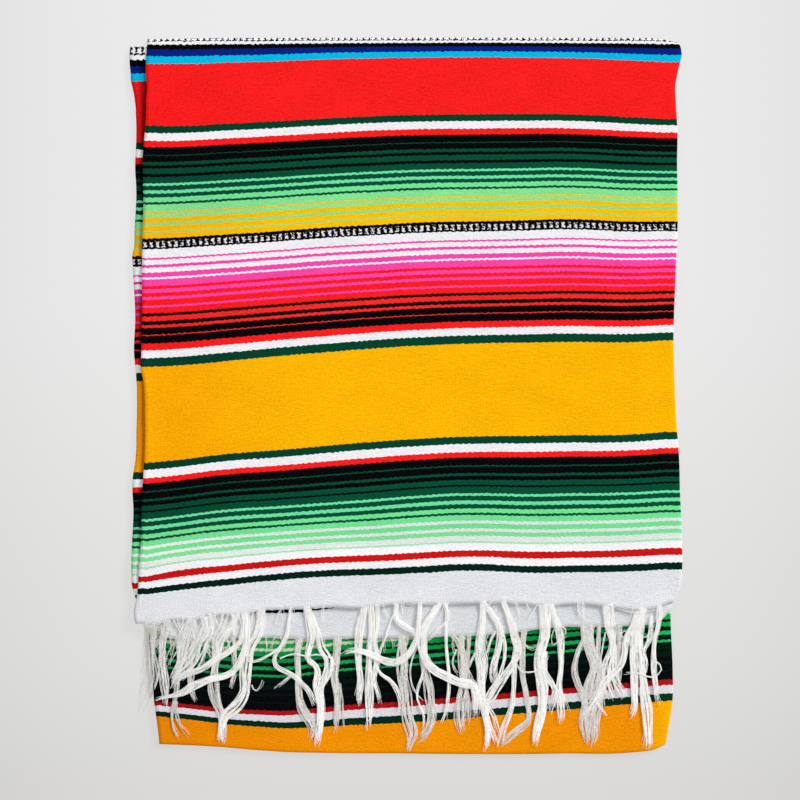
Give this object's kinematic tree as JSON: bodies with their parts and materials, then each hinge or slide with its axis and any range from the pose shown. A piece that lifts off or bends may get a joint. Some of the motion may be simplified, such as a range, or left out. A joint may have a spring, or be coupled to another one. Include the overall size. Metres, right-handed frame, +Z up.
{
  "type": "folded mexican serape blanket",
  "caption": "Striped woven blanket folded flat, with one end turned up and a knotless white fringe lying over it",
  "frame": {"origin": "centre of the folded blanket's bounding box at floor level", "axes": "+X across the folded blanket to the right as seen from above, +Y away from the fringe towards the top fold, +Z up from the floor"},
  "size_m": [0.7744, 1.006, 0.014],
  "materials": {
    "front_cloth": "weft-faced plain weave in bright stripes, matte",
    "second_cloth": "weft-faced plain weave in bright stripes, matte",
    "end_cloth": "weft-faced plain weave in bright stripes, matte",
    "back_cloth": "weft-faced plain weave in bright stripes, matte",
    "core_cloth": "edges of the hidden woven layers, matte",
    "front_yarn": "loose twisted warp yarn, matte white",
    "second_yarn": "loose twisted warp yarn, matte white"
  },
  "bodies": {
    "root": {"front_panel": "front_cloth", "second_panel": "second_cloth", "turned_up_end": "end_cloth", "back_panel": "back_cloth", "core": "core_cloth", "front_fringe": "front_yarn", "second_fringe": "second_yarn"}
  },
  "joints": []
}
